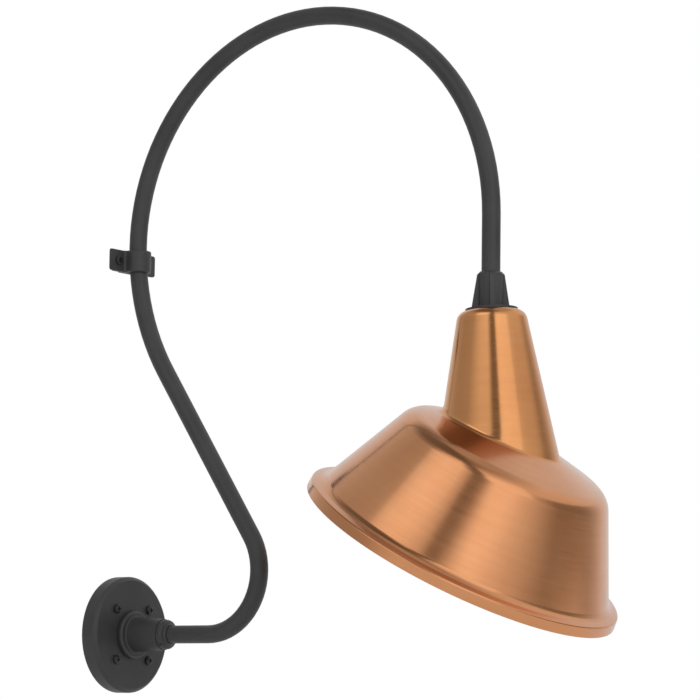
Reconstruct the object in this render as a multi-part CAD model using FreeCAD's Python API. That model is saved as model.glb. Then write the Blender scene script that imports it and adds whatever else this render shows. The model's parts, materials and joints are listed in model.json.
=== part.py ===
"""Gooseneck wall sconce: canopy, bent arm, wall clamp, ribbed collar, angled copper shade and lamp.

Millimetres.  The origin is the centre of the canopy on the wall plane.  The wall is the XZ
plane, +Z is up and the light reaches out along -Y.  "Reach" means the distance from the wall.
"""
import FreeCAD, Part
import math
import os

from FreeCAD import Vector

# ---------------------------------------------------------------- driving dimensions
FIT_GAP = 0.08            # radial clearance of turning and sliding fits
SCREW_GAP = 0.25          # radial clearance of a screw in a plain hole
WALL_SCREW_R = 2.4        # clearance radius for the screws that go into the wall
EDGE_BREAK = 0.6          # small rounding of turned edges

# proportions of screws and nuts
HEAD_CROWN = 0.55         # rounding of a pan head, as a share of its height
RECESS_WIDTH = 0.24       # width of the cross recess, as a share of the head's radius
RECESS_LENGTH = 1.15      # length of the cross recess, as a share of the head's radius
RECESS_DEPTH = 0.5        # depth of the cross recess, as a share of the head's height
GRUB_SOCKET = 0.4         # depth of a grub screw's socket, as a share of its length
NUT_CHAMFER = 0.6         # chamfer of a nut, as a share of corner radius less half the flats

# canopy
CANOPY_R = 62.0
CANOPY_DEPTH = 18.3
CANOPY_BEVEL = 3.7
CANOPY_WALL = 2.0
CANOPY_ROUND = 2.6        # rounding at both ends of the bevel
CANOPY_SCREW_PCD = 76.2
CANOPY_SCREW_ANGLES = (45.0, 135.0, 225.0, 315.0)
CANOPY_SCREW_R = 2.1
CANOPY_HEAD_R = 4.8
CANOPY_HEAD_H = 3.4

# mounting plate behind the canopy
PLATE_R = 51.0
PLATE_T = 2.5
PLATE_WIRE_HOLE_R = 14.0
PLATE_BOSS_R = 4.5
PLATE_BOSS_H = 6.0
PLATE_SLOT_CENTRE = 39.7
PLATE_SLOT_RUN = 10.0
GROUND_SCREW_Z = -24.0
GROUND_SCREW_R = 2.0
GROUND_HEAD_R = 4.0
GROUND_HEAD_H = 2.4
GROUND_SCREW_LENGTH = 2.5

# hub that carries the arm
HUB_FLANGE_R = 25.6
HUB_FLANGE_T = 6.0
HUB_FLANGE_ROUND = 2.6
HUB_SEAT_ROUND = 1.5
HUB_NECK_ROUND = 1.5
HUB_BODY_R = 18.9
HUB_END_R = 16.6
HUB_LENGTH = 43.7
HUB_STEM_R = 10.5
HUB_STEM_LENGTH = 12.0
HUB_WIRE_R = 6.0
HUB_SOCKET_DEPTH = 38.0
HUB_NUT_AF = 27.0
HUB_NUT_T = 4.5
HUB_WASHER_R = 17.0
HUB_WASHER_T = 1.2
GLAND_LENGTH = 10.0
GLAND_R = 15.7
GLAND_NOSE_R = 12.2
GLAND_NOSE_AT = 7.6
GLAND_ROUND = 4.0
GLAND_LIP = 1.0           # end face of the gland nut around the tube
GLAND_SPIGOT_R = 12.8
GLAND_SPIGOT_LENGTH = 8.0
GLAND_SCREW_AT = 3.6
GLAND_SCREW_R = 1.9
GLAND_SCREW_HEX = 1.1
GLAND_SCREW_ANGLE = 225.0

# arm tube
TUBE_R = 9.525
TUBE_WALL = 1.5
SPRING_REACH = 15.27      # of the centre line where the arm runs plumb again, above the clamp
ARM_LEAN = 33.6           # lean of the straight riser, back towards the wall
FOOT_BEND_R = 65.8
RISER_LENGTH = 215.7
BACK_BEND_R = 248.8
ARCH_R = 228.6
DROP_LENGTH = 89.5

# supply wires in the tube
WIRE_R = 1.5
WIRE_SPREAD = 3.2
WIRE_START = 8.0
WIRE_END_IN = 3.0

# wall clamp
CLAMP_BELOW_TOP = 16.2    # centre of the clamp below the point where the tube runs plumb
CLAMP_H = 23.5
CLAMP_HALF_W = 37.7
CLAMP_EAR_REACH = 3.4     # gap between the wall and the back of the base's ears
CLAMP_EAR_T = 3.0
CLAMP_EAR_HALF_W = 31.0   # of the base, under the wider ears of the strap
CLAMP_STRAP_T = 4.4       # over the tube
CLAMP_STRAP_EAR_T = 2.2
CLAMP_STRAP_ROUND = 1.6   # rounding of the strap's outer edges over the tube
CLAMP_CORNER_R = 3.0
CLAMP_SEAM_R = 3.0
CLAMP_BLOCK_HALF_W = 14.5
CLAMP_MOUTH_HALF_W = 8.6  # half width of the strap's slot before it is bored for the tube
CLAMP_SCREW_X = 24.5
CLAMP_SCREW_R = 2.1
CLAMP_HEAD_R = 5.0
CLAMP_HEAD_H = 2.8
CLAMP_NUT_AF = 7.0
CLAMP_NUT_T = 2.8
CLAMP_SCREW_TIP = 1.0
CLAMP_SINK_R = 5.0

# collar at the end of the arm
COLLAR_TOP_UP = 18.5      # above the head's tilt point
COLLAR_CORE_R = 12.6
COLLAR_TOP_RIM_R = 10.4
COLLAR_TOP_BEVEL = 3.1
COLLAR_EDGE_ROUND = 1.0
COLLAR_BORE_BELOW = 13.0  # bottom of the bore, below the tilt point
RIB_COUNT = 4
RIB_T = 4.6
RIB_TOP_R = 13.8
RIB_LIP = 0.4             # step of a rib out of the collar's top rim
RIB_FOOT_R = 19.3
RIB_TURN = 38.5           # turn of the first rib about the drop
COLLAR_SCREW_UP = 8.0
COLLAR_SCREW_R = 2.4
COLLAR_SCREW_HEX = 1.3
COLLAR_SCREW_PROUD = 0.4

# head: everything below the collar leans a little off plumb
TILT_ABOVE_TUBE_END = 12.0
HEAD_LEAN = 3.2
SEAT_BELOW = 19.0         # top of the flange disc, below the tilt point
FLANGE_R = 26.4
FLANGE_T = 2.0

# copper shade
SHADE_WALL = 1.2
NECK_TOP_R = 33.9
NECK_SHOULDER_R = 11.0
NECK_BASE_R = 65.03       # radius of the cone carried down to the bowl's centre
NECK_FOOT_R = 6.0
BOWL_ANGLE = 32.9         # between the neck and the bowl
BOWL_CENTRE_DOWN = 188.7  # crossing of the two axes, below the tilt point
DOME_RISE = 55.1          # dome apex above the crossing
DOME_EDGE_R = 108.5
DOME_EDGE_RISE = 26.4
DOME_EDGE_ROUND = 24.0
BOWL_FOOT_R = 156.2
BOWL_FOOT_DROP = 73.4
BOWL_FOOT_ROUND = 10.0
RIM_FOLD_R = 168.0
RIM_FOLD_DROP = 76.9
RIM_FOLD_ROUND = 2.4
RIM_FLARE = 1.0           # growth of the rim band below the fold
RIM_DROP = 87.6
HEM_H = 4.0
HEM_T = 1.0
HOLE_LIP = 3.0            # ledge of the bowl inside the neck

# nipple and lampholder
NIPPLE_R = 4.8
NIPPLE_BORE_R = 3.4
NIPPLE_TOP_BELOW = 13.6
NIPPLE_LENGTH = 23.0
LOCKNUT_AF = 14.0
LOCKNUT_T = 3.5
LOCKWASHER_R = 10.0
LOCKWASHER_T = 1.2
CAP_TOP_BELOW = 31.0
CAP_NECK_R = 8.0
CAP_R = 21.0
CAP_SHOULDER_H = 5.0
CAP_H = 16.0
CAP_WALL = 1.5
CAP_ROUND = 4.0
CAP_BOSS_H = 5.0
HOLDER_R = 20.6
HOLDER_H = 43.0
HOLDER_SPIGOT_H = 4.0
HOLDER_BASE_T = 10.0
HOLDER_LIP_ROUND = 2.0
SHELL_R = 13.8
SHELL_T = 0.5
SHELL_H = 27.0
SHELL_LEDGE = 2.5         # inturned top edge of the shell
SHELL_ROUND = 1.0
CONTACT_HALF_W = 3.0
CONTACT_T = 0.6
CONTACT_FOOT_LENGTH = 7.0
CONTACT_RISE = 1.6
HOLDER_SCREW_AT = 17.3
HOLDER_SCREW_R = 1.3
HOLDER_SCREW_HEAD_R = 2.3
HOLDER_SCREW_HEAD_H = 1.5
TERMINAL_AT = 11.5
TERMINAL_R = 1.5
TERMINAL_DEPTH = 6.0
TERMINAL_HEAD_R = 3.2
TERMINAL_HEAD_H = 1.8
LEAD_R = 1.1
LEAD_SPREAD = 1.6
LEAD_BEND_R = 3.5
LEAD_BEND_SHARE = 0.8     # largest share of the sideways run that a bend may take
LEAD_START_IN = 0.5       # start of a lead below the nipple's top

# lamp
LAMP_GAP = 0.3            # between the lamp's tip and the contact
LAMP_CAP_R = 13.0
LAMP_CAP_T = 0.4
LAMP_CAP_H = 22.5
LAMP_CAP_ROUND = 1.5
LAMP_CAP_LEDGE = 3.4      # inturned top edge of the lamp cap
LAMP_TIP_R = 4.6
LAMP_TIP_T = 1.0
LAMP_INSULATOR_H = 3.2
LAMP_INSULATOR_R = 11.0
LAMP_INSULATOR_STEP = 1.0 # ring of insulator around the tip
GLOBE_R = 30.0
GLOBE_WALL = 1.0
GLOBE_LENGTH = 76.0       # glass below the lamp cap
GLOBE_NECK_R = 12.6
GLOBE_NECK_H = 8.0
GLOBE_WAIST_R = 14.5
GLOBE_JOIN_ANGLE = 38.0   # above the ball's equator, where the cone leaves the ball

# ---------------------------------------------------------------- derived places
OUT = Vector(0, -1, 0)
UP = Vector(0, 0, 1)
X_AXIS = Vector(1, 0, 0)
HUB_FOOT = CANOPY_DEPTH
HUB_END = HUB_FOOT + HUB_LENGTH
HUB_STOP = HUB_END - HUB_SOCKET_DEPTH
TUBE_BORE_R = TUBE_R - TUBE_WALL
CLAMP_SEAM = CLAMP_EAR_REACH + CLAMP_EAR_T
RIM_R = RIM_FOLD_R + RIM_FLARE


def arm_points(offset=0.0):
    """Corner points of the arm's centre line in (reach, height), with the arc radii.

    The list holds straight ends and arc middles in order; offset moves the line inwards,
    towards the centre of the arch.
    """
    lean = math.radians(ARM_LEAN)
    turn = math.pi / 2 + lean
    foot_r = FOOT_BEND_R - offset
    back_r = BACK_BEND_R + offset
    arch_r = ARCH_R - offset
    riser_run = math.sin(lean) * RISER_LENGTH
    back_run = BACK_BEND_R * (1 - math.cos(lean))
    foot_reach = SPRING_REACH + back_run + riser_run - FOOT_BEND_R * math.sin(turn)
    foot_centre = (foot_reach, FOOT_BEND_R)

    def on_foot(angle):
        return (foot_centre[0] + foot_r * math.sin(angle), foot_centre[1] - foot_r * math.cos(angle))

    bend_end = on_foot(turn)
    riser_end = (bend_end[0] - riser_run, bend_end[1] + math.cos(lean) * RISER_LENGTH)
    back_centre = (riser_end[0] + back_r * math.cos(lean), riser_end[1] + back_r * math.sin(lean))

    def on_back(angle):
        return (back_centre[0] - back_r * math.cos(angle), back_centre[1] - back_r * math.sin(angle))

    spring = on_back(0.0)
    arch_centre = (spring[0] + arch_r, spring[1])
    return {
        "foot_start": (foot_reach, offset),
        "foot_middle": on_foot(turn / 2),
        "foot_end": bend_end,
        "riser_end": riser_end,
        "back_middle": on_back(lean / 2),
        "spring": spring,
        "arch_top": (arch_centre[0], arch_centre[1] + arch_r),
        "arch_end": (arch_centre[0] + arch_r, arch_centre[1]),
        "back_centre": back_centre,
    }


ARM = arm_points()
DROP_REACH, SPRING_Z = ARM["arch_end"]
TUBE_END_Z = SPRING_Z - DROP_LENGTH
TILT_Z = TUBE_END_Z + TILT_ABOVE_TUBE_END
CLAMP_Z = SPRING_Z - CLAMP_BELOW_TOP
CLAMP_REACH = ARM["back_centre"][0] - math.sqrt(BACK_BEND_R ** 2 - CLAMP_BELOW_TOP ** 2)

# depths below the tilt point, along the head's own axis
NECK_TOP = SEAT_BELOW + FLANGE_T
WASHER_TOP = NECK_TOP + SHADE_WALL
LOCKNUT_TOP = WASHER_TOP + LOCKWASHER_T
CAP_FOOT = CAP_TOP_BELOW + CAP_H
HOLDER_TOP = CAP_FOOT - HOLDER_SPIGOT_H
HOLDER_SEAT = CAP_FOOT + HOLDER_BASE_T
HOLDER_FOOT = CAP_FOOT + HOLDER_H
LAMP_TOP = HOLDER_SEAT + CONTACT_T + CONTACT_RISE + LAMP_GAP
LAMP_CAP_TOP = LAMP_TOP + LAMP_TIP_T + LAMP_INSULATOR_H
LAMP_CAP_FOOT = LAMP_CAP_TOP + LAMP_CAP_H


# ---------------------------------------------------------------- shape helpers
def outline(points):
    """Closed wire in the XZ plane through (x, z) or (x, z, round) points."""
    corners = [tuple(point) + (0.0,) * (3 - len(point)) for point in points]
    spans = []
    for index, (x, z, round_r) in enumerate(corners):
        here = Vector(x, 0, z)
        if round_r <= 0:
            spans.append((here, None, here))
            continue
        before = Vector(corners[index - 1][0], 0, corners[index - 1][1])
        after = Vector(corners[(index + 1) % len(corners)][0], 0, corners[(index + 1) % len(corners)][1])
        a = (before - here).normalize()
        b = (after - here).normalize()
        half = a.getAngle(b) / 2
        cut = round_r / math.tan(half)
        centre = here + (a + b).normalize() * (round_r / math.sin(half))
        middle = centre + (here - centre).normalize() * round_r
        spans.append((here + a * cut, middle, here + b * cut))
    edges = []
    for index, (start, middle, end) in enumerate(spans):
        if middle is not None:
            edges.append(Part.Arc(start, middle, end).toShape())
        following = spans[(index + 1) % len(spans)][0]
        if (following - end).Length > 1e-6:
            edges.append(Part.LineSegment(end, following).toShape())
    return Part.Wire(edges)


def turned(points):
    """Solid of revolution about Z from a closed (radius, height) outline."""
    return Part.Face(outline(points)).revolve(Vector(0, 0, 0), UP, 360)


def offset_path(points, wall):
    """Open (x, z, round) path moved sideways by wall, to the right of its direction.

    It stays on the outer side of the turning axis, where x is 0.
    """
    count = len(points)
    normals = []
    for index in range(count - 1):
        dx = points[index + 1][0] - points[index][0]
        dz = points[index + 1][1] - points[index][1]
        size = math.hypot(dx, dz)
        normals.append((dz / size, -dx / size))
    moved = []
    for index, point in enumerate(points):
        first = normals[max(index - 1, 0)]
        second = normals[min(index, count - 2)]
        scale = wall / (1 + first[0] * second[0] + first[1] * second[1])
        x = point[0] + (first[0] + second[0]) * scale
        z = point[1] + (first[1] + second[1]) * scale
        round_r = point[2] if len(point) > 2 else 0.0
        if round_r > 0:
            right_turn = first[1] * second[0] - first[0] * second[1] > 0
            round_r += -wall if right_turn else wall
        moved.append((max(x, 0.0), z, max(round_r, 0.0)))
    return moved


def shell_outline(path, wall):
    """Closed outline of a sheet of even thickness along an open path."""
    return list(path) + list(reversed(offset_path(path, wall)))


def disc(radius, bottom, top, hole=0.0):
    """Round plate about Z with an optional hole."""
    solid = Part.makeCylinder(radius, top - bottom, Vector(0, 0, bottom))
    if hole > 0:
        solid = solid.cut(Part.makeCylinder(hole, top - bottom, Vector(0, 0, bottom)))
    return solid


def hexagon(across_flats, bottom, top, hole=0.0):
    """Six-sided prism about Z with chamfered corners and an optional hole."""
    corner_r = across_flats / math.sqrt(3)
    corners = [Vector(corner_r * math.cos(math.radians(60 * i)), corner_r * math.sin(math.radians(60 * i)),
                      bottom) for i in range(7)]
    prism = Part.Face(Part.makePolygon(corners)).extrude(Vector(0, 0, top - bottom))
    chamfer = (corner_r - across_flats / 2) * NUT_CHAMFER
    blank = turned([(0, bottom), (corner_r - chamfer, bottom), (corner_r, bottom + chamfer),
                    (corner_r, top - chamfer), (corner_r - chamfer, top), (0, top)])
    nut = prism.common(blank)
    if hole > 0:
        nut = nut.cut(Part.makeCylinder(hole, top - bottom, Vector(0, 0, bottom)))
    return nut


def block(x0, x1, y0, y1, z0, z1):
    """Box between two corners."""
    return Part.makeBox(x1 - x0, y1 - y0, z1 - z0, Vector(x0, y0, z0))


def pan_screw(head_r, head_h, shank_r, length):
    """Cross-recess pan screw, its seat at height 0, head up, shank down."""
    crown = head_h * HEAD_CROWN
    screw = turned([(0, -length), (shank_r, -length), (shank_r, 0), (head_r, 0),
                    (head_r, head_h, crown), (0, head_h)])
    slot_w = head_r * RECESS_WIDTH
    slot_l = head_r * RECESS_LENGTH
    slot_d = head_h * RECESS_DEPTH
    for half_x, half_y in ((slot_l / 2, slot_w / 2), (slot_w / 2, slot_l / 2)):
        screw = screw.cut(block(-half_x, half_x, -half_y, half_y, head_h - slot_d, head_h))
    return screw


def grub_screw(radius, length, hex_r):
    """Headless screw from height 0 inwards, with a hexagon socket."""
    depth = length * GRUB_SOCKET
    return disc(radius, -length, 0).cut(hexagon(hex_r * math.sqrt(3), -depth, depth))


def placed(shape, base, axis):
    """Copy with its local Z turned onto axis and its origin at base."""
    moved = shape.copy()
    moved.Placement = FreeCAD.Placement(base, FreeCAD.Rotation(UP, axis)).multiply(moved.Placement)
    return moved


def from_wall(shape):
    """Local Z becomes the reach from the wall, local Y becomes height."""
    moved = shape.copy()
    moved.rotate(Vector(0, 0, 0), X_AXIS, 90)
    return moved


def along_drop(shape):
    """Local Z axis on the drop of the arm, with local height kept as real height."""
    moved = shape.copy()
    moved.translate(Vector(0, -DROP_REACH, 0))
    return moved


def in_head(shape):
    """Local origin at the tilt point, local -Z down the leaning head."""
    moved = shape.copy()
    moved.rotate(Vector(0, 0, 0), X_AXIS, -HEAD_LEAN)
    moved.translate(Vector(0, -DROP_REACH, TILT_Z))
    return moved


def in_bowl(shape):
    """Local origin at the crossing of the neck and the bowl, local Z up the bowl's axis."""
    moved = shape.copy()
    moved.rotate(Vector(0, 0, 0), X_AXIS, BOWL_ANGLE)
    moved.translate(Vector(0, 0, -BOWL_CENTRE_DOWN))
    return in_head(moved)


def polar(radius, degrees):
    """Point on a circle in the local XY plane."""
    return Vector(radius * math.cos(math.radians(degrees)), radius * math.sin(math.radians(degrees)), 0)


def joined(shapes):
    """One solid from overlapping or touching parts."""
    return shapes[0].fuse(shapes[1:]).removeSplitter()


def group(shapes):
    """Separate solids in one node."""
    return Part.makeCompound(shapes)


# ---------------------------------------------------------------- canopy and hub
def canopy():
    face_in = CANOPY_DEPTH - CANOPY_WALL
    bevel_r = CANOPY_R - CANOPY_BEVEL
    path = [(HUB_STEM_R + SCREW_GAP, CANOPY_DEPTH), (bevel_r, CANOPY_DEPTH, CANOPY_ROUND),
            (CANOPY_R, CANOPY_DEPTH - CANOPY_BEVEL, CANOPY_ROUND), (CANOPY_R, 0)]
    shell = turned(shell_outline(path, CANOPY_WALL))
    for angle in CANOPY_SCREW_ANGLES:
        hole_at = polar(CANOPY_SCREW_PCD / 2, angle) + Vector(0, 0, face_in)
        shell = shell.cut(Part.makeCylinder(CANOPY_SCREW_R + SCREW_GAP, CANOPY_WALL, hole_at))
    return from_wall(shell)


def canopy_screws():
    screw = pan_screw(CANOPY_HEAD_R, CANOPY_HEAD_H, CANOPY_SCREW_R, CANOPY_DEPTH - PLATE_T)
    screws = []
    for angle in CANOPY_SCREW_ANGLES:
        screws.append(from_wall(placed(screw, polar(CANOPY_SCREW_PCD / 2, angle) + Vector(0, 0, CANOPY_DEPTH),
                                       UP)))
    return group(screws)


def mounting_plate():
    plate = disc(PLATE_R, 0, PLATE_T, PLATE_WIRE_HOLE_R)
    for side in (-1, 1):
        centre = side * PLATE_SLOT_CENTRE
        half = PLATE_SLOT_RUN / 2
        slot = block(centre - half, centre + half, -WALL_SCREW_R, WALL_SCREW_R, 0, PLATE_T)
        for end in (-half, half):
            slot = slot.fuse(Part.makeCylinder(WALL_SCREW_R, PLATE_T, Vector(centre + end, 0, 0)))
        plate = plate.cut(slot)
    for angle in CANOPY_SCREW_ANGLES:
        at = polar(CANOPY_SCREW_PCD / 2, angle)
        plate = plate.fuse(Part.makeCylinder(PLATE_BOSS_R, PLATE_BOSS_H, at + Vector(0, 0, PLATE_T)))
    for angle in CANOPY_SCREW_ANGLES:
        at = polar(CANOPY_SCREW_PCD / 2, angle)
        plate = plate.cut(Part.makeCylinder(CANOPY_SCREW_R, PLATE_BOSS_H + PLATE_T, at))
    ground_hole = Part.makeCylinder(GROUND_SCREW_R, PLATE_T, Vector(0, GROUND_SCREW_Z, 0))
    return from_wall(plate.cut(ground_hole).removeSplitter())


def ground_screw():
    screw = pan_screw(GROUND_HEAD_R, GROUND_HEAD_H, GROUND_SCREW_R, GROUND_SCREW_LENGTH)
    return from_wall(placed(screw, Vector(0, GROUND_SCREW_Z, PLATE_T), UP))


def hub():
    stem_foot = HUB_FOOT - HUB_STEM_LENGTH
    flange_top = HUB_FOOT + HUB_FLANGE_T
    spigot_stop = HUB_END - GLAND_SPIGOT_LENGTH
    bore_r = TUBE_R + FIT_GAP
    body = turned([
        (HUB_WIRE_R, stem_foot), (HUB_STEM_R, stem_foot), (HUB_STEM_R, HUB_FOOT),
        (HUB_FLANGE_R, HUB_FOOT, HUB_SEAT_ROUND), (HUB_FLANGE_R, flange_top, HUB_FLANGE_ROUND),
        (HUB_BODY_R, flange_top, HUB_NECK_ROUND), (HUB_END_R, HUB_END, EDGE_BREAK),
        (GLAND_SPIGOT_R, HUB_END), (GLAND_SPIGOT_R, spigot_stop), (bore_r, spigot_stop),
        (bore_r, HUB_STOP), (HUB_WIRE_R, HUB_STOP)])
    return from_wall(body)


def hub_washer():
    face_in = CANOPY_DEPTH - CANOPY_WALL
    return from_wall(disc(HUB_WASHER_R, face_in - HUB_WASHER_T, face_in, HUB_STEM_R + SCREW_GAP))


def hub_locknut():
    top = CANOPY_DEPTH - CANOPY_WALL - HUB_WASHER_T
    return from_wall(hexagon(HUB_NUT_AF, top - HUB_NUT_T, top, HUB_STEM_R))


def gland_screw_axis():
    return polar(1, GLAND_SCREW_ANGLE)


def gland_nut():
    bore_r = TUBE_R + FIT_GAP
    nose = HUB_END + GLAND_NOSE_AT
    end = HUB_END + GLAND_LENGTH
    nut = turned([
        (bore_r, HUB_END - GLAND_SPIGOT_LENGTH), (GLAND_SPIGOT_R, HUB_END - GLAND_SPIGOT_LENGTH),
        (GLAND_SPIGOT_R, HUB_END), (GLAND_R, HUB_END, EDGE_BREAK), (GLAND_R, nose, GLAND_ROUND),
        (GLAND_NOSE_R, nose), (bore_r + GLAND_LIP, end), (bore_r, end)])
    hole = placed(Part.makeCylinder(GLAND_SCREW_R, GLAND_R), Vector(0, 0, HUB_END + GLAND_SCREW_AT),
                  gland_screw_axis())
    return from_wall(nut.cut(hole))


def gland_screw():
    length = GLAND_R - TUBE_R - FIT_GAP
    screw = grub_screw(GLAND_SCREW_R, length, GLAND_SCREW_HEX)
    at = gland_screw_axis() * GLAND_R + Vector(0, 0, HUB_END + GLAND_SCREW_AT)
    return from_wall(placed(screw, at, gland_screw_axis()))


# ---------------------------------------------------------------- arm
def arm_path(start_reach, end_z, offset=0.0, side=0.0):
    """Wire along the arm from the hub to a height on the drop."""
    points = arm_points(offset)

    def at(name):
        reach, height = points[name]
        return Vector(side, -reach, height)

    start = Vector(side, -start_reach, offset)
    end = Vector(side, -points["arch_end"][0], end_z)
    edges = [
        Part.LineSegment(start, at("foot_start")).toShape(),
        Part.Arc(at("foot_start"), at("foot_middle"), at("foot_end")).toShape(),
        Part.LineSegment(at("foot_end"), at("riser_end")).toShape(),
        Part.Arc(at("riser_end"), at("back_middle"), at("spring")).toShape(),
        Part.Arc(at("spring"), at("arch_top"), at("arch_end")).toShape(),
        Part.LineSegment(at("arch_end"), end).toShape(),
    ]
    return Part.Wire(edges)


def swept(path, radius):
    """Round bar along a wire that starts along -Y."""
    start = path.Vertexes[0].Point
    circle = Part.Wire(Part.makeCircle(radius, start, OUT))
    return path.makePipeShell([circle], True, False)


def arm_tube():
    path = arm_path(HUB_STOP, TUBE_END_Z)
    return swept(path, TUBE_R).cut(swept(path, TUBE_BORE_R))


def supply_wire(side):
    return swept(arm_path(WIRE_START, TUBE_END_Z + WIRE_END_IN, 0.0, side * WIRE_SPREAD / 2), WIRE_R)


# ---------------------------------------------------------------- wall clamp
def clamp_room():
    """Ring that the arm's back bend is a part of: the tube's space in the clamp."""
    reach, height = ARM["back_centre"]
    return Part.makeTorus(BACK_BEND_R, TUBE_R + FIT_GAP, Vector(0, -reach, height), X_AXIS)


def clamp_plate(half_w, back, front):
    """Flat plate with rounded corners, between two reaches."""
    half_h = CLAMP_H / 2
    corners = [(-half_w, -half_h, CLAMP_CORNER_R), (half_w, -half_h, CLAMP_CORNER_R),
               (half_w, half_h, CLAMP_CORNER_R), (-half_w, half_h, CLAMP_CORNER_R)]
    plate = Part.Face(outline(corners)).extrude(Vector(0, back - front, 0))
    plate.translate(Vector(0, -back, CLAMP_Z))
    return plate


def clamp_holes(radius, back, front):
    """Bars through both ears."""
    return [Part.makeCylinder(radius, front - back, Vector(side * CLAMP_SCREW_X, -back, CLAMP_Z), OUT)
            for side in (-1, 1)]


def clamp_base():
    half_h = CLAMP_H / 2
    ears = clamp_plate(CLAMP_EAR_HALF_W, CLAMP_EAR_REACH, CLAMP_SEAM)
    pad = block(-CLAMP_BLOCK_HALF_W, CLAMP_BLOCK_HALF_W, -CLAMP_SEAM, 0, CLAMP_Z - half_h, CLAMP_Z + half_h)
    base = joined([pad, ears]).cut(clamp_room())
    for bar in clamp_holes(CLAMP_SCREW_R + SCREW_GAP, CLAMP_EAR_REACH, CLAMP_SEAM):
        base = base.cut(bar)
    floor = CLAMP_REACH - TUBE_R
    sink_depth = CLAMP_SINK_R - WALL_SCREW_R
    centre = Vector(0, 0, CLAMP_Z)
    base = base.cut(Part.makeCylinder(WALL_SCREW_R, CLAMP_SEAM, centre, OUT))
    sink = Part.makeCone(WALL_SCREW_R, CLAMP_SINK_R, sink_depth, centre + OUT * (floor - sink_depth), OUT)
    return base.cut(sink)


def clamp_strap():
    """Strip bent over the tube, drawn as its plan and trimmed to the ears' rounded corners."""
    outer_r = TUBE_R + CLAMP_STRAP_T
    seat = CLAMP_SEAM + CLAMP_STRAP_EAR_T
    crown = CLAMP_REACH + outer_r
    inside = CLAMP_REACH + CLAMP_MOUTH_HALF_W
    half = [(CLAMP_MOUTH_HALF_W, inside, CLAMP_MOUTH_HALF_W), (CLAMP_MOUTH_HALF_W, CLAMP_SEAM),
            (CLAMP_HALF_W, CLAMP_SEAM), (CLAMP_HALF_W, seat), (outer_r, seat, CLAMP_SEAM_R),
            (outer_r, crown, outer_r)]
    other_half = [(-point[0],) + point[1:] for point in reversed(half)]
    strip = Part.Face(outline(half + other_half)).extrude(Vector(0, CLAMP_H, 0))
    strip = strip.makeFillet(CLAMP_STRAP_ROUND, [edge for edge in strip.Edges if is_crown_edge(edge, seat)])
    strip.rotate(Vector(0, 0, 0), X_AXIS, 90)
    strip.translate(Vector(0, 0, CLAMP_Z - CLAMP_H / 2))
    strap = strip.common(clamp_plate(CLAMP_HALF_W, 0, 2 * crown)).cut(clamp_room())
    for bar in clamp_holes(CLAMP_SCREW_R + SCREW_GAP, CLAMP_SEAM, seat):
        strap = strap.cut(bar)
    return strap


def is_crown_edge(edge, seat):
    """True for an edge of the strap's plan that goes from ear to ear outside the tube."""
    box = edge.BoundBox
    in_plan = box.YLength < CLAMP_H / 2
    outside = max(-box.XMin, box.XMax) > TUBE_R
    return in_plan and outside and box.Center.z > seat + CLAMP_SEAM_R / 4


def clamp_screws():
    seat = CLAMP_SEAM + CLAMP_STRAP_EAR_T
    screw = pan_screw(CLAMP_HEAD_R, CLAMP_HEAD_H, CLAMP_SCREW_R, seat - CLAMP_SCREW_TIP)
    return group([placed(screw, Vector(side * CLAMP_SCREW_X, -seat, CLAMP_Z), OUT) for side in (-1, 1)])


def clamp_nuts():
    nut = hexagon(CLAMP_NUT_AF, CLAMP_EAR_REACH - CLAMP_NUT_T, CLAMP_EAR_REACH, CLAMP_SCREW_R)
    return group([placed(nut, Vector(side * CLAMP_SCREW_X, 0, CLAMP_Z), OUT) for side in (-1, 1)])


# ---------------------------------------------------------------- collar and flange
def rib(angle):
    """One tapered rib of the collar, before its foot is trimmed."""
    top = TILT_Z + COLLAR_TOP_UP
    foot = TILT_Z - SEAT_BELOW - RIB_FOOT_R
    slope = (RIB_FOOT_R - RIB_TOP_R) / (COLLAR_TOP_UP - COLLAR_TOP_BEVEL + SEAT_BELOW)
    foot_r = RIB_FOOT_R + slope * RIB_FOOT_R
    inner = TUBE_R
    side = Part.Face(outline([(inner, foot), (foot_r, foot), (RIB_TOP_R, top - COLLAR_TOP_BEVEL, EDGE_BREAK),
                              (COLLAR_TOP_RIM_R + RIB_LIP, top), (inner, top)]))
    fin = side.extrude(Vector(0, RIB_T, 0))
    fin.translate(Vector(0, -RIB_T / 2, 0))
    fin.rotate(Vector(0, 0, 0), UP, angle)
    return fin


def collar():
    top = TILT_Z + COLLAR_TOP_UP
    foot = TILT_Z - SEAT_BELOW - RIB_FOOT_R
    bore_foot = TILT_Z - COLLAR_BORE_BELOW
    bevel = COLLAR_CORE_R - COLLAR_TOP_RIM_R
    core = turned([(0, foot), (COLLAR_CORE_R, foot), (COLLAR_CORE_R, top - bevel, COLLAR_EDGE_ROUND),
                   (COLLAR_TOP_RIM_R, top), (0, top)])
    ribs = [rib(RIB_TURN + 360.0 / RIB_COUNT * i) for i in range(RIB_COUNT)]
    body = joined([core] + ribs)
    body = body.cut(Part.makeCylinder(TUBE_R + FIT_GAP, top - bore_foot, Vector(0, 0, bore_foot)))
    screw_hole = placed(Part.makeCylinder(COLLAR_SCREW_R, RIB_FOOT_R), collar_screw_height(),
                        collar_screw_axis())
    body = along_drop(body.cut(screw_hole))
    below_seat = in_head(disc(BOWL_FOOT_R, -BOWL_CENTRE_DOWN, -SEAT_BELOW))
    nipple_hole = in_head(disc(NIPPLE_R, -SEAT_BELOW, -COLLAR_BORE_BELOW + NIPPLE_R))
    return body.cut(below_seat).cut(nipple_hole)


def collar_screw_axis():
    return polar(1, RIB_TURN + 180.0 / RIB_COUNT)


def collar_screw_height():
    return Vector(0, 0, TILT_Z + COLLAR_SCREW_UP)


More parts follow.
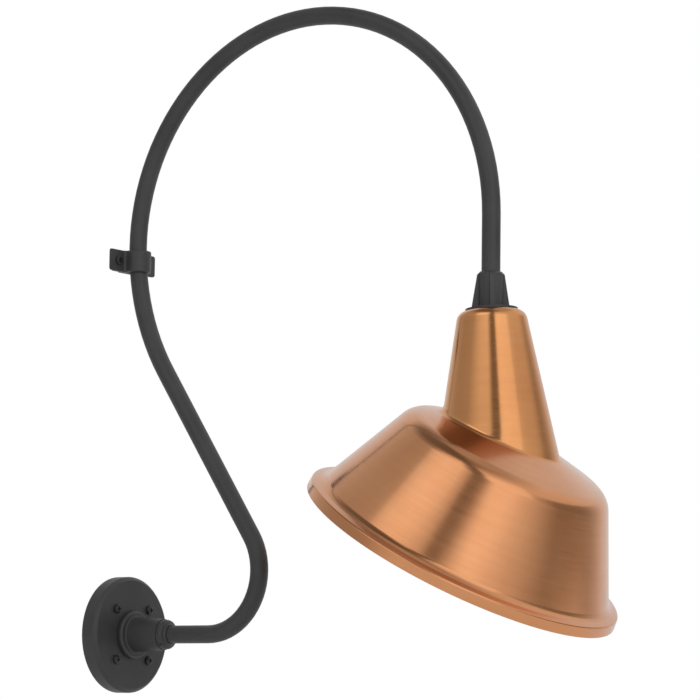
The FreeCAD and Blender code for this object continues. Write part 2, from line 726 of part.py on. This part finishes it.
def collar_screw():
    length = COLLAR_CORE_R + COLLAR_SCREW_PROUD - TUBE_R - FIT_GAP
    screw = grub_screw(COLLAR_SCREW_R, length, COLLAR_SCREW_HEX)
    at = collar_screw_axis() * (COLLAR_CORE_R + COLLAR_SCREW_PROUD) + collar_screw_height()
    return along_drop(placed(screw, at, collar_screw_axis()))


def shade_flange():
    return in_head(disc(FLANGE_R, -NECK_TOP, -SEAT_BELOW, NIPPLE_R + SCREW_GAP))


# ---------------------------------------------------------------- copper shade
def neck_radius(depth):
    """Outer radius of the neck at a depth below the tilt point."""
    growth = (NECK_BASE_R - NECK_TOP_R) / (BOWL_CENTRE_DOWN - NECK_TOP)
    return NECK_TOP_R + growth * (depth - NECK_TOP)


def neck_cone(inset, top, foot):
    """Solid cone that follows the neck, smaller by inset."""
    return in_head(turned([(0, -foot), (neck_radius(foot) - inset, -foot), (neck_radius(top) - inset, -top),
                           (0, -top)]))


def bowl_path():
    """Outer line of the bowl from its apex to its rim, in (radius, height) about its own axis."""
    return [(0, DOME_RISE), (DOME_EDGE_R, DOME_EDGE_RISE, DOME_EDGE_ROUND),
            (BOWL_FOOT_R, -BOWL_FOOT_DROP, BOWL_FOOT_ROUND),
            (RIM_FOLD_R, -RIM_FOLD_DROP, RIM_FOLD_ROUND), (RIM_R, -RIM_DROP)]


def bowl_envelope():
    """Bowl as a filled solid."""
    return in_bowl(turned(bowl_path() + [(0, -RIM_DROP)]))


def shade_neck():
    foot = BOWL_CENTRE_DOWN
    path = [(NIPPLE_R + SCREW_GAP, -NECK_TOP), (NECK_TOP_R, -NECK_TOP, NECK_SHOULDER_R),
            (neck_radius(foot), -foot)]
    outer = in_head(turned(path + [(NIPPLE_R + SCREW_GAP, -foot)]))
    envelope = bowl_envelope()
    whole = outer.fuse(envelope)
    foot_edges = [edge for edge in whole.Edges if is_neck_foot(edge)]
    footed = whole.makeFillet(NECK_FOOT_R, foot_edges).cut(envelope)
    inside = offset_path(path, SHADE_WALL)
    hollow = in_head(turned([(0, inside[0][1])] + inside[1:] + [(0, -foot)]))
    return footed.cut(hollow)


def is_neck_foot(edge):
    """True for the line where the neck meets the dome."""
    middle = edge.BoundBox.Center
    across = edge.BoundBox.XLength
    near_drop = abs(middle.y + DROP_REACH) < FLANGE_R
    return (2 * NECK_TOP_R < across < 2 * neck_radius(BOWL_CENTRE_DOWN) and near_drop
            and middle.z < TILT_Z - HOLDER_SEAT)


def shade_bowl():
    sheet = turned(shell_outline(bowl_path(), SHADE_WALL))
    hem = turned([(RIM_R - SHADE_WALL - HEM_T, -RIM_DROP), (RIM_R - SHADE_WALL / 2, -RIM_DROP),
                  (RIM_R - SHADE_WALL / 2, HEM_H - RIM_DROP), (RIM_R - SHADE_WALL - HEM_T, HEM_H - RIM_DROP)])
    bowl = in_bowl(sheet.fuse(hem).removeSplitter())
    return bowl.cut(neck_cone(SHADE_WALL + HOLE_LIP, NECK_TOP, BOWL_CENTRE_DOWN))


# ---------------------------------------------------------------- nipple and lampholder
def nipple():
    return in_head(disc(NIPPLE_R, -NIPPLE_TOP_BELOW - NIPPLE_LENGTH, -NIPPLE_TOP_BELOW, NIPPLE_BORE_R))


def lockwasher():
    return in_head(disc(LOCKWASHER_R, -LOCKNUT_TOP, -WASHER_TOP, NIPPLE_R + SCREW_GAP))


def nipple_locknut():
    return in_head(hexagon(LOCKNUT_AF, -LOCKNUT_TOP - LOCKNUT_T, -LOCKNUT_TOP, NIPPLE_R))


def lampholder_cap():
    top = -CAP_TOP_BELOW
    path = [(NIPPLE_R, top), (CAP_NECK_R, top), (CAP_R, top - CAP_SHOULDER_H, CAP_ROUND),
            (CAP_R, top - CAP_H)]
    shell = turned(shell_outline(path, CAP_WALL))
    boss = disc(CAP_NECK_R, top - CAP_BOSS_H, top, NIPPLE_R)
    cap = shell.fuse(boss).removeSplitter()
    for bar in holder_bars(HOLDER_SCREW_R, CAP_TOP_BELOW, CAP_FOOT):
        cap = cap.cut(bar)
    return in_head(cap)


def holder_bars(radius, top, foot):
    """Upright bars on the two screw lines of the lampholder."""
    return [Part.makeCylinder(radius, foot - top, Vector(side * HOLDER_SCREW_AT, 0, -foot))
            for side in (-1, 1)]


def lampholder_body():
    spigot_r = CAP_R - CAP_WALL - FIT_GAP
    bore_r = SHELL_R + FIT_GAP
    body = turned([(0, -HOLDER_TOP), (spigot_r, -HOLDER_TOP), (spigot_r, -CAP_FOOT), (HOLDER_R, -CAP_FOOT),
                   (HOLDER_R, -HOLDER_FOOT, HOLDER_LIP_ROUND), (bore_r, -HOLDER_FOOT, HOLDER_LIP_ROUND),
                   (bore_r, -HOLDER_SEAT), (0, -HOLDER_SEAT)])
    for bar in holder_bars(HOLDER_SCREW_R + SCREW_GAP, HOLDER_TOP, HOLDER_FOOT):
        body = body.cut(bar)
    head_seat = HOLDER_FOOT - 2 * HOLDER_SCREW_HEAD_H
    for bar in holder_bars(HOLDER_SCREW_HEAD_R + SCREW_GAP, head_seat, HOLDER_FOOT):
        body = body.cut(bar)
    for side in (-1, 1):
        at = Vector(0, side * TERMINAL_AT, -HOLDER_TOP - TERMINAL_DEPTH)
        body = body.cut(Part.makeCylinder(TERMINAL_R, TERMINAL_DEPTH, at))
    return in_head(body)


def lampholder_screws():
    seat = HOLDER_FOOT - 2 * HOLDER_SCREW_HEAD_H
    length = seat - HOLDER_TOP + CAP_SHOULDER_H
    screw = pan_screw(HOLDER_SCREW_HEAD_R, HOLDER_SCREW_HEAD_H, HOLDER_SCREW_R, length)
    return group([in_head(placed(screw, Vector(side * HOLDER_SCREW_AT, 0, -seat), -UP)) for side in (-1, 1)])


def lampholder_shell():
    top = -HOLDER_SEAT
    path = [(SHELL_R - SHELL_LEDGE, top), (SHELL_R, top, SHELL_ROUND), (SHELL_R, top - SHELL_H)]
    return in_head(turned(shell_outline(path, SHELL_T)))


def centre_contact():
    """Brass tongue riveted flat on the floor of the lampholder, its free end sprung down."""
    floor = -HOLDER_SEAT
    foot = block(-CONTACT_HALF_W, CONTACT_HALF_W, -CONTACT_FOOT_LENGTH, CONTACT_FOOT_LENGTH,
                 floor - CONTACT_T, floor)
    button = disc(CONTACT_HALF_W, floor - CONTACT_T - CONTACT_RISE, floor - CONTACT_T)
    return in_head(joined([foot, button]))


def terminal_screws():
    screw = pan_screw(TERMINAL_HEAD_R, TERMINAL_HEAD_H, TERMINAL_R, TERMINAL_DEPTH)
    return group([in_head(placed(screw, Vector(0, side * TERMINAL_AT, -HOLDER_TOP), UP)) for side in (-1, 1)])


def socket_lead(side):
    """Lead from the arm through the nipple to its terminal screw."""
    start = -NIPPLE_TOP_BELOW - LEAD_START_IN
    rest = -HOLDER_TOP + LEAD_R
    inner = side * LEAD_SPREAD
    end = side * (TERMINAL_AT - TERMINAL_HEAD_R)
    bend = min(LEAD_BEND_R, abs(end - inner) * LEAD_BEND_SHARE)
    slant = math.sqrt(0.5) * bend
    corner = Vector(0, inner, rest)
    a = corner + Vector(0, 0, bend)
    b = corner + Vector(0, side * bend, 0)
    middle = Vector(0, inner + side * (bend - slant), rest + bend - slant)
    path = Part.Wire([Part.LineSegment(Vector(0, inner, start), a).toShape(),
                      Part.Arc(a, middle, b).toShape(),
                      Part.LineSegment(b, Vector(0, end, rest)).toShape()])
    circle = Part.Wire(Part.makeCircle(LEAD_R, path.Vertexes[0].Point, -UP))
    return in_head(path.makePipeShell([circle], True, False))


# ---------------------------------------------------------------- lamp
def lamp_tip():
    return in_head(disc(LAMP_TIP_R, -LAMP_TOP - LAMP_TIP_T, -LAMP_TOP))


def lamp_insulator():
    top = -LAMP_TOP - LAMP_TIP_T
    return in_head(turned([(0, top), (LAMP_TIP_R + LAMP_INSULATOR_STEP, top),
                           (LAMP_INSULATOR_R, -LAMP_CAP_TOP), (0, -LAMP_CAP_TOP)]))


def lamp_cap():
    path = [(LAMP_CAP_R - LAMP_CAP_LEDGE, -LAMP_CAP_TOP), (LAMP_CAP_R, -LAMP_CAP_TOP, LAMP_CAP_ROUND),
            (LAMP_CAP_R, -LAMP_CAP_FOOT)]
    return in_head(turned(shell_outline(path, LAMP_CAP_T)))


def globe_solid(inset):
    """Filled glass shape, smaller by inset."""
    centre = GLOBE_R - LAMP_CAP_FOOT - GLOBE_LENGTH
    ball_r = GLOBE_R - inset

    def on_ball(angle):
        return Vector(ball_r * math.cos(angle), 0, centre + ball_r * math.sin(angle))

    stem = [Vector(0, 0, GLOBE_NECK_H - LAMP_CAP_FOOT),
            Vector(GLOBE_NECK_R - inset, 0, GLOBE_NECK_H - LAMP_CAP_FOOT),
            Vector(GLOBE_NECK_R - inset, 0, -LAMP_CAP_FOOT),
            Vector(GLOBE_WAIST_R - inset, 0, -LAMP_CAP_FOOT - GLOBE_NECK_H),
            on_ball(math.radians(GLOBE_JOIN_ANGLE))]
    edges = [Part.LineSegment(stem[i], stem[i + 1]).toShape() for i in range(len(stem) - 1)]
    edges.append(Part.Arc(stem[-1], on_ball(-math.pi / 4), on_ball(-math.pi / 2)).toShape())
    edges.append(Part.LineSegment(on_ball(-math.pi / 2), stem[0]).toShape())
    return Part.Face(Part.Wire(edges)).revolve(Vector(0, 0, 0), UP, 360)


def lamp_globe():
    return in_head(globe_solid(0.0).cut(globe_solid(GLOBE_WALL)))


# ---------------------------------------------------------------- the set of nodes
NODES = {
    "mounting_plate": mounting_plate,
    "ground_screw": ground_screw,
    "canopy": canopy,
    "canopy_screws": canopy_screws,
    "hub": hub,
    "hub_washer": hub_washer,
    "hub_locknut": hub_locknut,
    "gland_nut": gland_nut,
    "gland_screw": gland_screw,
    "arm_tube": arm_tube,
    "live_wire": lambda: supply_wire(-1),
    "neutral_wire": lambda: supply_wire(1),
    "clamp_base": clamp_base,
    "clamp_strap": clamp_strap,
    "clamp_screws": clamp_screws,
    "clamp_nuts": clamp_nuts,
    "collar": collar,
    "collar_screw": collar_screw,
    "shade_flange": shade_flange,
    "shade_neck": shade_neck,
    "shade_bowl": shade_bowl,
    "nipple": nipple,
    "lockwasher": lockwasher,
    "nipple_locknut": nipple_locknut,
    "lampholder_cap": lampholder_cap,
    "lampholder_body": lampholder_body,
    "lampholder_screws": lampholder_screws,
    "lampholder_shell": lampholder_shell,
    "centre_contact": centre_contact,
    "terminal_screws": terminal_screws,
    "live_lead": lambda: socket_lead(-1),
    "neutral_lead": lambda: socket_lead(1),
    "lamp_tip": lamp_tip,
    "lamp_insulator": lamp_insulator,
    "lamp_cap": lamp_cap,
    "lamp_globe": lamp_globe,
}

os.makedirs("parts", exist_ok=True)
for node, make in NODES.items():
    shape = make()
    shape.exportStep("parts/" + node + ".step")
    print(node, len(shape.Solids), "solid(s)", round(shape.Volume / 1000, 3), "cm3", "valid", shape.isValid())
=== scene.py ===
"""Looks of the gooseneck wall sconce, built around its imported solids.

Metres, in the part's own frame: the wall is the plane Y = 0, +Z is up and the light reaches
out along -Y.
"""
import json
import math

import bpy
from mathutils import Matrix, Vector


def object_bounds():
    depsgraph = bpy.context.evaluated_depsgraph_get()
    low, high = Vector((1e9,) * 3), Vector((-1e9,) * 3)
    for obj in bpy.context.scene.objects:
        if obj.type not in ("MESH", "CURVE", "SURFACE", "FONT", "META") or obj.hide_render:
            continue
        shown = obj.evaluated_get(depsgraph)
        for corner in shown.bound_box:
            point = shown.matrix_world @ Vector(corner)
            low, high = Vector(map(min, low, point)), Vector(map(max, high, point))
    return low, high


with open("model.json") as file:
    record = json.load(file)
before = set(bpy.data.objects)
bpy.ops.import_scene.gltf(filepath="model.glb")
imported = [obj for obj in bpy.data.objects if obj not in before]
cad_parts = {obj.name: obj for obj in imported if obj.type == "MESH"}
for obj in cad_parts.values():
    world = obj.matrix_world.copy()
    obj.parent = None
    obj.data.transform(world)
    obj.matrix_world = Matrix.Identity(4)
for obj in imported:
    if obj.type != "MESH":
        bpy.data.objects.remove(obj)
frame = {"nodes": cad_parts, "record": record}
cad_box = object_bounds()

# ---------------------------------------------------------------- named values
CAMERA_PLACE = Vector((-2.69125, -2.2205, -0.09132))
CAMERA_TURN = math.radians(-54.488)
CAMERA_PITCH = math.radians(6.603)
CAMERA_ROLL = math.radians(0.735)
CAMERA_LENS = 165.86
CAMERA_SENSOR = 36.0

FLOOR_DROP = 0.25           # floor below the lowest point of the light
FLOOR_HALF = 6.0
WHITE = (1.0, 1.0, 1.0, 1.0)

BAND_TOP = 4.0              # strongest level that a band's colour can stand for
BAND_SCALE = 1.0 / BAND_TOP
# light on matt surfaces from in front of the wall, and from behind it; the first is above the level
# at which a colour renders as written, which lifts the black coat
EVEN_LIGHT = (1.9, 0.3)
# (bearing in degrees, brightness) of the studio's walls, band by band; 0 is along -Y, 90 along -X
STUDIO_LOW = ((-180, 0.5), (-150, 0.72), (-85, 0.7), (-62, 0.38), (-48, 0.24), (-16, 0.24), (8, 0.65),
              (25, 0.85), (70, 0.88), (105, 0.7), (124, 0.42), (160, 0.4), (180, 0.5))
STUDIO_LEDGE = ((-180, 0.5), (-150, 0.72), (-85, 0.7), (-66, 0.72), (-12, 0.68), (12, 0.75), (47, 0.85),
                (50.5, 0.15), (66, 0.15), (72, 0.75), (96, 0.75), (124, 0.45), (158, 0.42), (180, 0.5))
STUDIO_MIDDLE = ((-180, 0.5), (-150, 0.72), (-85, 0.7), (-66, 0.76), (-12, 0.7), (12, 0.75), (47, 0.85),
                 (50.5, 0.15), (64, 0.15), (71, 0.8), (96, 0.85), (110, 0.75), (124, 0.5), (158, 0.46),
                 (180, 0.5))
STUDIO_HIGH = ((-180, 0.18), (-85, 0.46), (-30, 0.5), (20, 0.36), (60, 0.13), (100, 0.15), (180, 0.18))
# elevations in degrees between which each band gives way to the next
STUDIO_STEPS = ((21.5, 24.5), (29.0, 31.5), (48.0, 62.0))

# bearing, elevation, width, height and watts
SOFTBOXES = {"softbox_left": (92.0, 42.0, 1.9, 1.1, 2.0), "softbox_right": (26.0, 22.0, 2.0, 1.6, 3.0)}
SOFTBOX_DISTANCE = 3.0
SOFTBOX_TARGET = Vector((0.0, -0.33, 0.27))

# fineness of surface detail, in cells per metre, and depth of relief, in metres
COAT_CLOUD, COAT_GRAIN, COAT_PEEL, COAT_RELIEF = 22.0, 2600.0, 420.0, 0.00003
SPUN_RING, SPUN_BAND, SPUN_CLOUD, SPUN_RELIEF = 2200.0, 130.0, 9.0, 0.000006
SPUN_STREAK = 2.5           # radius in noise cells of one turn about the axis; small, so streaks are long
LACQUER_ROUGHNESS = 0.1
METAL_CLOUD, METAL_SCRATCH, METAL_RELIEF = 60.0, 1500.0, 0.00001
BODY_CLOUD, BODY_RELIEF = 45.0, 0.00015
GLASS_DEPTH = 0.004         # how far light spreads inside opal glass
FLOOR_CLOUD, FLOOR_ROUGHNESS = 40.0, 0.9
FLOOR_DARK, FLOOR_LIGHT = (0.62, 0.62, 0.62, 1.0), (0.64, 0.64, 0.64, 1.0)
# range of a noise value over which a colour or a roughness goes from one end to the other
CLOUD_SPAN, GRAIN_SPAN, RING_SPAN = (0.35, 0.65), (0.3, 0.7), (0.25, 0.75)

# one copper in two tones: the bowl's is a touch paler and bluer, the neck's more golden; the difference
# is painted sheen, standing in for how their highlights differ under the light
COPPER_NECK = (0.745, 0.33, 0.125)
COPPER_BOWL_PAINTED_SHEEN = (0.755, 0.335, 0.148)
# axes that the copper was spun about: lean in the YZ plane, and a point on each
HEAD_LEAN = math.radians(3.2)
BOWL_LEAN = math.radians(29.7)
HEAD_TOP = Vector((0.0, -0.4724705, 0.3420581))
BOWL_MIDDLE = Vector((0.0, -0.4830045, 0.1536523))


# ---------------------------------------------------------------- material helpers
def blank_material(name):
    """Material with nodes, its tree and its surface shader."""
    material = bpy.data.materials.new(name)
    material.use_nodes = True
    tree = material.node_tree
    return material, tree, tree.nodes["Principled BSDF"]


def add(tree, kind, settings=None, **inputs):
    """New node.  Inputs are values, or sockets to link; underscores stand for spaces."""
    node = tree.nodes.new(kind)
    for key, value in (settings or {}).items():
        setattr(node, key, value)
    for key, value in inputs.items():
        feed(tree, node, key.replace("_", " "), value)
    return node


def feed(tree, node, key, value):
    """Links a socket to a named or numbered input, or sets its value."""
    socket = node.inputs[int(key)] if key.isdigit() else node.inputs[key]
    if isinstance(value, bpy.types.NodeSocket):
        tree.links.new(value, socket)
    else:
        socket.default_value = value


def maths(tree, operation, first, second=0.0):
    node = tree.nodes.new("ShaderNodeMath")
    node.operation = operation
    feed(tree, node, "0", first)
    feed(tree, node, "1", second)
    return node.outputs[0]


def noise(tree, vector, scale, detail=3.0, roughness=0.5):
    return add(tree, "ShaderNodeTexNoise", None, Vector=vector, Scale=scale, Detail=detail,
               Roughness=roughness).outputs["Fac"]


def ramp(tree, factor, low, high, low_value, high_value):
    """Value or colour that runs from one end to the other as factor goes from low to high."""
    if isinstance(low_value, tuple):
        return mix_colour(tree, ramp(tree, factor, low, high, 0.0, 1.0), low_value, high_value)
    node = tree.nodes.new("ShaderNodeMapRange")
    for key, value in (("Value", factor), ("From Min", low), ("From Max", high),
                       ("To Min", low_value), ("To Max", high_value)):
        feed(tree, node, key, value)
    return node.outputs["Result"]


def mix_colour(tree, factor, first, second):
    node = tree.nodes.new("ShaderNodeMix")
    node.data_type = "RGBA"
    for key, value in (("0", factor), ("6", first), ("7", second)):
        feed(tree, node, key, value)
    return node.outputs[2]


def object_coordinates(tree):
    return add(tree, "ShaderNodeTexCoord").outputs["Object"]


def axis_coordinates(tree, origin, lean):
    """Coordinates about an axis through origin that leans in the YZ plane; its Z is the axis."""
    turned = add(tree, "ShaderNodeMapping", {"vector_type": "TEXTURE"}, Vector=object_coordinates(tree),
                 Location=origin, Rotation=(lean, 0.0, 0.0))
    return turned.outputs["Vector"]


def bump(tree, height, distance, strength):
    node = add(tree, "ShaderNodeBump", None, Height=height, Distance=distance, Strength=strength)
    return node.outputs["Normal"]


def blended(tree, first, share, second, second_share):
    """Sum of two values, each times its share."""
    return maths(tree, "ADD", maths(tree, "MULTIPLY", first, share),
                 maths(tree, "MULTIPLY", second, second_share))


def toned(tone, *shares):
    """Opaque colour: tone times one share, or times a share for each channel."""
    each = shares if len(shares) == 3 else shares * 3
    return tuple(min(1.0, channel * share) for channel, share in zip(tone, each)) + (1.0,)


# ---------------------------------------------------------------- materials
def powder_coat(name, tone, gloss):
    """Fine-grained powder coat: soft mottling, fine grain and a faint orange peel."""
    material, tree, shader = blank_material(name)
    place = object_coordinates(tree)
    cloud = noise(tree, place, COAT_CLOUD, 4.0)
    grain = noise(tree, place, COAT_GRAIN, 2.0)
    peel = noise(tree, place, COAT_PEEL, 2.0)
    mottle = blended(tree, cloud, 0.7, grain, 0.3)
    feed(tree, shader, "Base Color", ramp(tree, mottle, *CLOUD_SPAN, toned(tone, 0.82), toned(tone, 1.2)))
    feed(tree, shader, "Roughness", ramp(tree, mottle, *GRAIN_SPAN, gloss - 0.06, gloss + 0.08))
    relief = maths(tree, "ADD", grain, maths(tree, "MULTIPLY", peel, 0.5))
    feed(tree, shader, "Normal", bump(tree, relief, COAT_RELIEF, 0.35))
    return material


def spun_metal(name, tone, origin, lean, gloss, lacquer):
    """Metal spun and brushed about an axis: fine rings, long faint streaks and a clear lacquer."""
    material, tree, shader = blank_material(name)
    place = axis_coordinates(tree, origin, lean)
    x, y, z = add(tree, "ShaderNodeSeparateXYZ", None, Vector=place).outputs
    radius = maths(tree, "SQRT", blended(tree, x, x, y, y))
    along = maths(tree, "SUBTRACT", radius, z)
    angle = maths(tree, "ARCTAN2", y, x)
    ring_place = add(tree, "ShaderNodeCombineXYZ", None, X=maths(tree, "MULTIPLY", along, SPUN_RING),
                     Y=maths(tree, "MULTIPLY", maths(tree, "COSINE", angle), SPUN_STREAK),
                     Z=maths(tree, "MULTIPLY", maths(tree, "SINE", angle), SPUN_STREAK)).outputs[0]
    rings = noise(tree, ring_place, 1.0, 2.0)
    wide_place = add(tree, "ShaderNodeCombineXYZ", None, X=maths(tree, "MULTIPLY", along, SPUN_BAND),
                     Y=maths(tree, "COSINE", angle), Z=maths(tree, "SINE", angle)).outputs[0]
    bands = noise(tree, wide_place, 1.0, 3.0)
    cloud = noise(tree, place, SPUN_CLOUD, 3.0)
    mottle = blended(tree, bands, 0.25, cloud, 0.75)
    dark, light = toned(tone, 0.93, 0.88, 0.84), toned(tone, 1.05, 1.08, 1.10)
    feed(tree, shader, "Base Color", ramp(tree, mottle, *CLOUD_SPAN, dark, light))
    feed(tree, shader, "Roughness", ramp(tree, rings, *RING_SPAN, gloss - 0.04, gloss + 0.06))
    feed(tree, shader, "Normal", bump(tree, rings, SPUN_RELIEF, 0.3))
    shader.inputs["Metallic"].default_value = 1.0
    shader.inputs["Coat Weight"].default_value = lacquer
    shader.inputs["Coat Roughness"].default_value = LACQUER_ROUGHNESS
    return material


def plain_metal(name, tone, gloss):
    """Small plated or turned metal piece with faint machining and stains."""
    material, tree, shader = blank_material(name)
    place = object_coordinates(tree)
    cloud = noise(tree, place, METAL_CLOUD, 4.0)
    scratch = noise(tree, place, METAL_SCRATCH, 2.0)
    feed(tree, shader, "Base Color", ramp(tree, cloud, *CLOUD_SPAN, toned(tone, 0.85), toned(tone, 1.08)))
    feed(tree, shader, "Roughness", ramp(tree, scratch, *GRAIN_SPAN, gloss - 0.05, gloss + 0.08))
    feed(tree, shader, "Normal", bump(tree, scratch, METAL_RELIEF, 0.4))
    shader.inputs["Metallic"].default_value = 1.0
    return material


def smooth_body(name, tone, gloss, through=0.0):
    """Moulded plastic, glazed ceramic or glass with a faint waviness."""
    material, tree, shader = blank_material(name)
    cloud = noise(tree, object_coordinates(tree), BODY_CLOUD, 3.0)
    feed(tree, shader, "Base Color", ramp(tree, cloud, *CLOUD_SPAN, toned(tone, 0.93), toned(tone, 1.04)))
    feed(tree, shader, "Roughness", ramp(tree, cloud, *GRAIN_SPAN, gloss - 0.03, gloss + 0.05))
    feed(tree, shader, "Normal", bump(tree, cloud, BODY_RELIEF, 0.3))
    if through > 0:
        shader.inputs["Subsurface Weight"].default_value = through
        shader.inputs["Subsurface Radius"].default_value = (GLASS_DEPTH, GLASS_DEPTH, GLASS_DEPTH)
        shader.inputs["Subsurface Scale"].default_value = 1.0
    return material


BY_SLOT = {
    "black_coat": powder_coat("black_coat", (0.027, 0.027, 0.0275), 0.45),
    "black_screws": powder_coat("black_screws", (0.014, 0.014, 0.0145), 0.32),
    "zinc_steel": plain_metal("zinc_steel", (0.62, 0.62, 0.6), 0.32),
    "brass": plain_metal("brass", (0.72, 0.55, 0.26), 0.28),
    "porcelain": smooth_body("porcelain", (0.86, 0.85, 0.81), 0.14),
    "wire_black": smooth_body("wire_black", (0.03, 0.03, 0.03), 0.45),
    "wire_white": smooth_body("wire_white", (0.82, 0.82, 0.79), 0.45),
    "opal_glass": smooth_body("opal_glass", (0.9, 0.89, 0.86), 0.12, 0.3),
    "lamp_metal": plain_metal("lamp_metal", (0.75, 0.75, 0.73), 0.3),
    "lamp_black": smooth_body("lamp_black", (0.02, 0.02, 0.02), 0.15),
}
COPPER_BY_NODE = {
    "shade_neck": spun_metal("copper_neck", COPPER_NECK, HEAD_TOP, -HEAD_LEAN, 0.16, 0.25),
    # the bowl's paler copper tone is painted sheen
    "shade_bowl": spun_metal("copper_bowl", COPPER_BOWL_PAINTED_SHEEN, BOWL_MIDDLE, BOWL_LEAN, 0.17, 0.4),
}


def dress_nodes():
    """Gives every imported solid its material."""
    for row in frame["record"]["subparts"]:
        node = frame["nodes"][row["node"]]
        material = COPPER_BY_NODE.get(row["node"]) or BY_SLOT[row["material_slot"]]
        node.data.materials.clear()
        node.data.materials.append(material)


# ---------------------------------------------------------------- setting
def add_camera():
    """The photograph's camera: turned about Z, pitched up, then rolled."""
    toward = Vector((-math.sin(CAMERA_TURN), math.cos(CAMERA_TURN), 0.0))
    side = Vector((math.cos(CAMERA_TURN), math.sin(CAMERA_TURN), 0.0))
    up = Vector((0.0, 0.0, 1.0))
    ahead = toward * math.cos(CAMERA_PITCH) + up * math.sin(CAMERA_PITCH)
    lifted = up * math.cos(CAMERA_PITCH) - toward * math.sin(CAMERA_PITCH)
    right = side * math.cos(CAMERA_ROLL) + lifted * math.sin(CAMERA_ROLL)
    top = lifted * math.cos(CAMERA_ROLL) - side * math.sin(CAMERA_ROLL)
    data = bpy.data.cameras.new("camera")
    data.sensor_width = CAMERA_SENSOR
    data.lens = CAMERA_LENS
    data.clip_end = 100.0
    camera = bpy.data.objects.new("camera", data)
    turn = Matrix((right, top, -ahead)).transposed()
    camera.matrix_world = Matrix.Translation(CAMERA_PLACE) @ turn.to_4x4()
    bpy.context.scene.collection.objects.link(camera)
    bpy.context.scene.camera = camera


def add_softbox(name, bearing, elevation, width, height, watts):
    """Area lamp that faces the middle of the light from a bearing; 0 is along -Y, 90 along -X."""
    turn, lift = math.radians(bearing), math.radians(elevation)
    out = Vector((-math.sin(turn) * math.cos(lift), -math.cos(turn) * math.cos(lift), math.sin(lift)))
    data = bpy.data.lights.new(name, "AREA")
    data.shape = "RECTANGLE"
    data.size = width
    data.size_y = height
    data.energy = watts
    lamp = bpy.data.objects.new(name, data)
    place = Matrix.Translation(SOFTBOX_TARGET + out * SOFTBOX_DISTANCE)
    lamp.matrix_world = place @ out.to_track_quat("Z", "Y").to_matrix().to_4x4()
    bpy.context.scene.collection.objects.link(lamp)


def add_floor():
    """Plain floor; seen from below it is clear, so that the light can be looked at from there too."""
    low = cad_box[0][2] - FLOOR_DROP
    mesh = bpy.data.meshes.new("floor")
    mesh.from_pydata([(-FLOOR_HALF, -FLOOR_HALF, low), (FLOOR_HALF, -FLOOR_HALF, low),
                      (FLOOR_HALF, FLOOR_HALF, low), (-FLOOR_HALF, FLOOR_HALF, low)], [], [(0, 1, 2, 3)])
    floor = bpy.data.objects.new("floor", mesh)
    bpy.context.scene.collection.objects.link(floor)
    material, tree, shader = blank_material("pale_floor")
    cloud = noise(tree, object_coordinates(tree), FLOOR_CLOUD)
    feed(tree, shader, "Base Color", ramp(tree, cloud, *GRAIN_SPAN, FLOOR_DARK, FLOOR_LIGHT))
    shader.inputs["Roughness"].default_value = FLOOR_ROUGHNESS
    clear = tree.nodes.new("ShaderNodeBsdfTransparent").outputs[0]
    behind = add(tree, "ShaderNodeNewGeometry").outputs["Backfacing"]
    both = tree.nodes.new("ShaderNodeMixShader")
    for key, value in (("0", behind), ("1", shader.outputs[0]), ("2", clear)):
        feed(tree, both, key, value)
    feed(tree, tree.nodes["Material Output"], "Surface", both.outputs[0])
    mesh.materials.append(material)


def studio_band(tree, turn, stops):
    """Brightness all round the horizon, from (bearing in degrees, level) stops."""
    node = add(tree, "ShaderNodeValToRGB", None, Fac=turn)
    marks = node.color_ramp.elements
    while len(marks) < len(stops):
        marks.new(0.5)
    for mark, (bearing, level) in zip(marks, stops):
        mark.position = (bearing + 180.0) / 360.0
        mark.color = (level * BAND_SCALE,) * 3 + (1.0,)
    return node.outputs["Color"]


def add_world():
    """White wherever it is seen; metal and glass show the studio's walls, all else gets an even light."""
    world = bpy.data.worlds.new("studio")
    bpy.context.scene.world = world
    world.use_nodes = True
    tree = world.node_tree
    x, y, z = add(tree, "ShaderNodeSeparateXYZ", None,
                  Vector=add(tree, "ShaderNodeTexCoord").outputs["Generated"]).outputs
    bearing = maths(tree, "ARCTAN2", maths(tree, "MULTIPLY", x, -1.0), maths(tree, "MULTIPLY", y, -1.0))
    turn = ramp(tree, bearing, -math.pi, math.pi, 0.0, 1.0)
    lift = maths(tree, "ARCSINE", z)
    walls = studio_band(tree, turn, STUDIO_LOW)
    for (low, high), stops in zip(STUDIO_STEPS, (STUDIO_LEDGE, STUDIO_MIDDLE, STUDIO_HIGH)):
        share = ramp(tree, lift, math.radians(low), math.radians(high), 0.0, 1.0)
        walls = mix_colour(tree, share, walls, studio_band(tree, turn, stops))
    rays = add(tree, "ShaderNodeLightPath").outputs
    mirrored = maths(tree, "MAXIMUM", rays["Is Glossy Ray"], rays["Is Transmission Ray"])
    even = ramp(tree, ramp(tree, y, -1.0, 1.0, *EVEN_LIGHT), 0.0, BAND_TOP, (0.0, 0.0, 0.0, 1.0), WHITE)
    colour = mix_colour(tree, mirrored, even, walls)
    colour = mix_colour(tree, rays["Is Camera Ray"], colour, (BAND_SCALE,) * 3 + (1.0,))
    background = tree.nodes["Background"]
    feed(tree, background, "Color", colour)
    background.inputs["Strength"].default_value = BAND_TOP


dress_nodes()
add_camera()
add_floor()
add_world()
for softbox, values in SOFTBOXES.items():
    add_softbox(softbox, *values)

bpy.context.scene.view_settings.view_transform = "Standard"
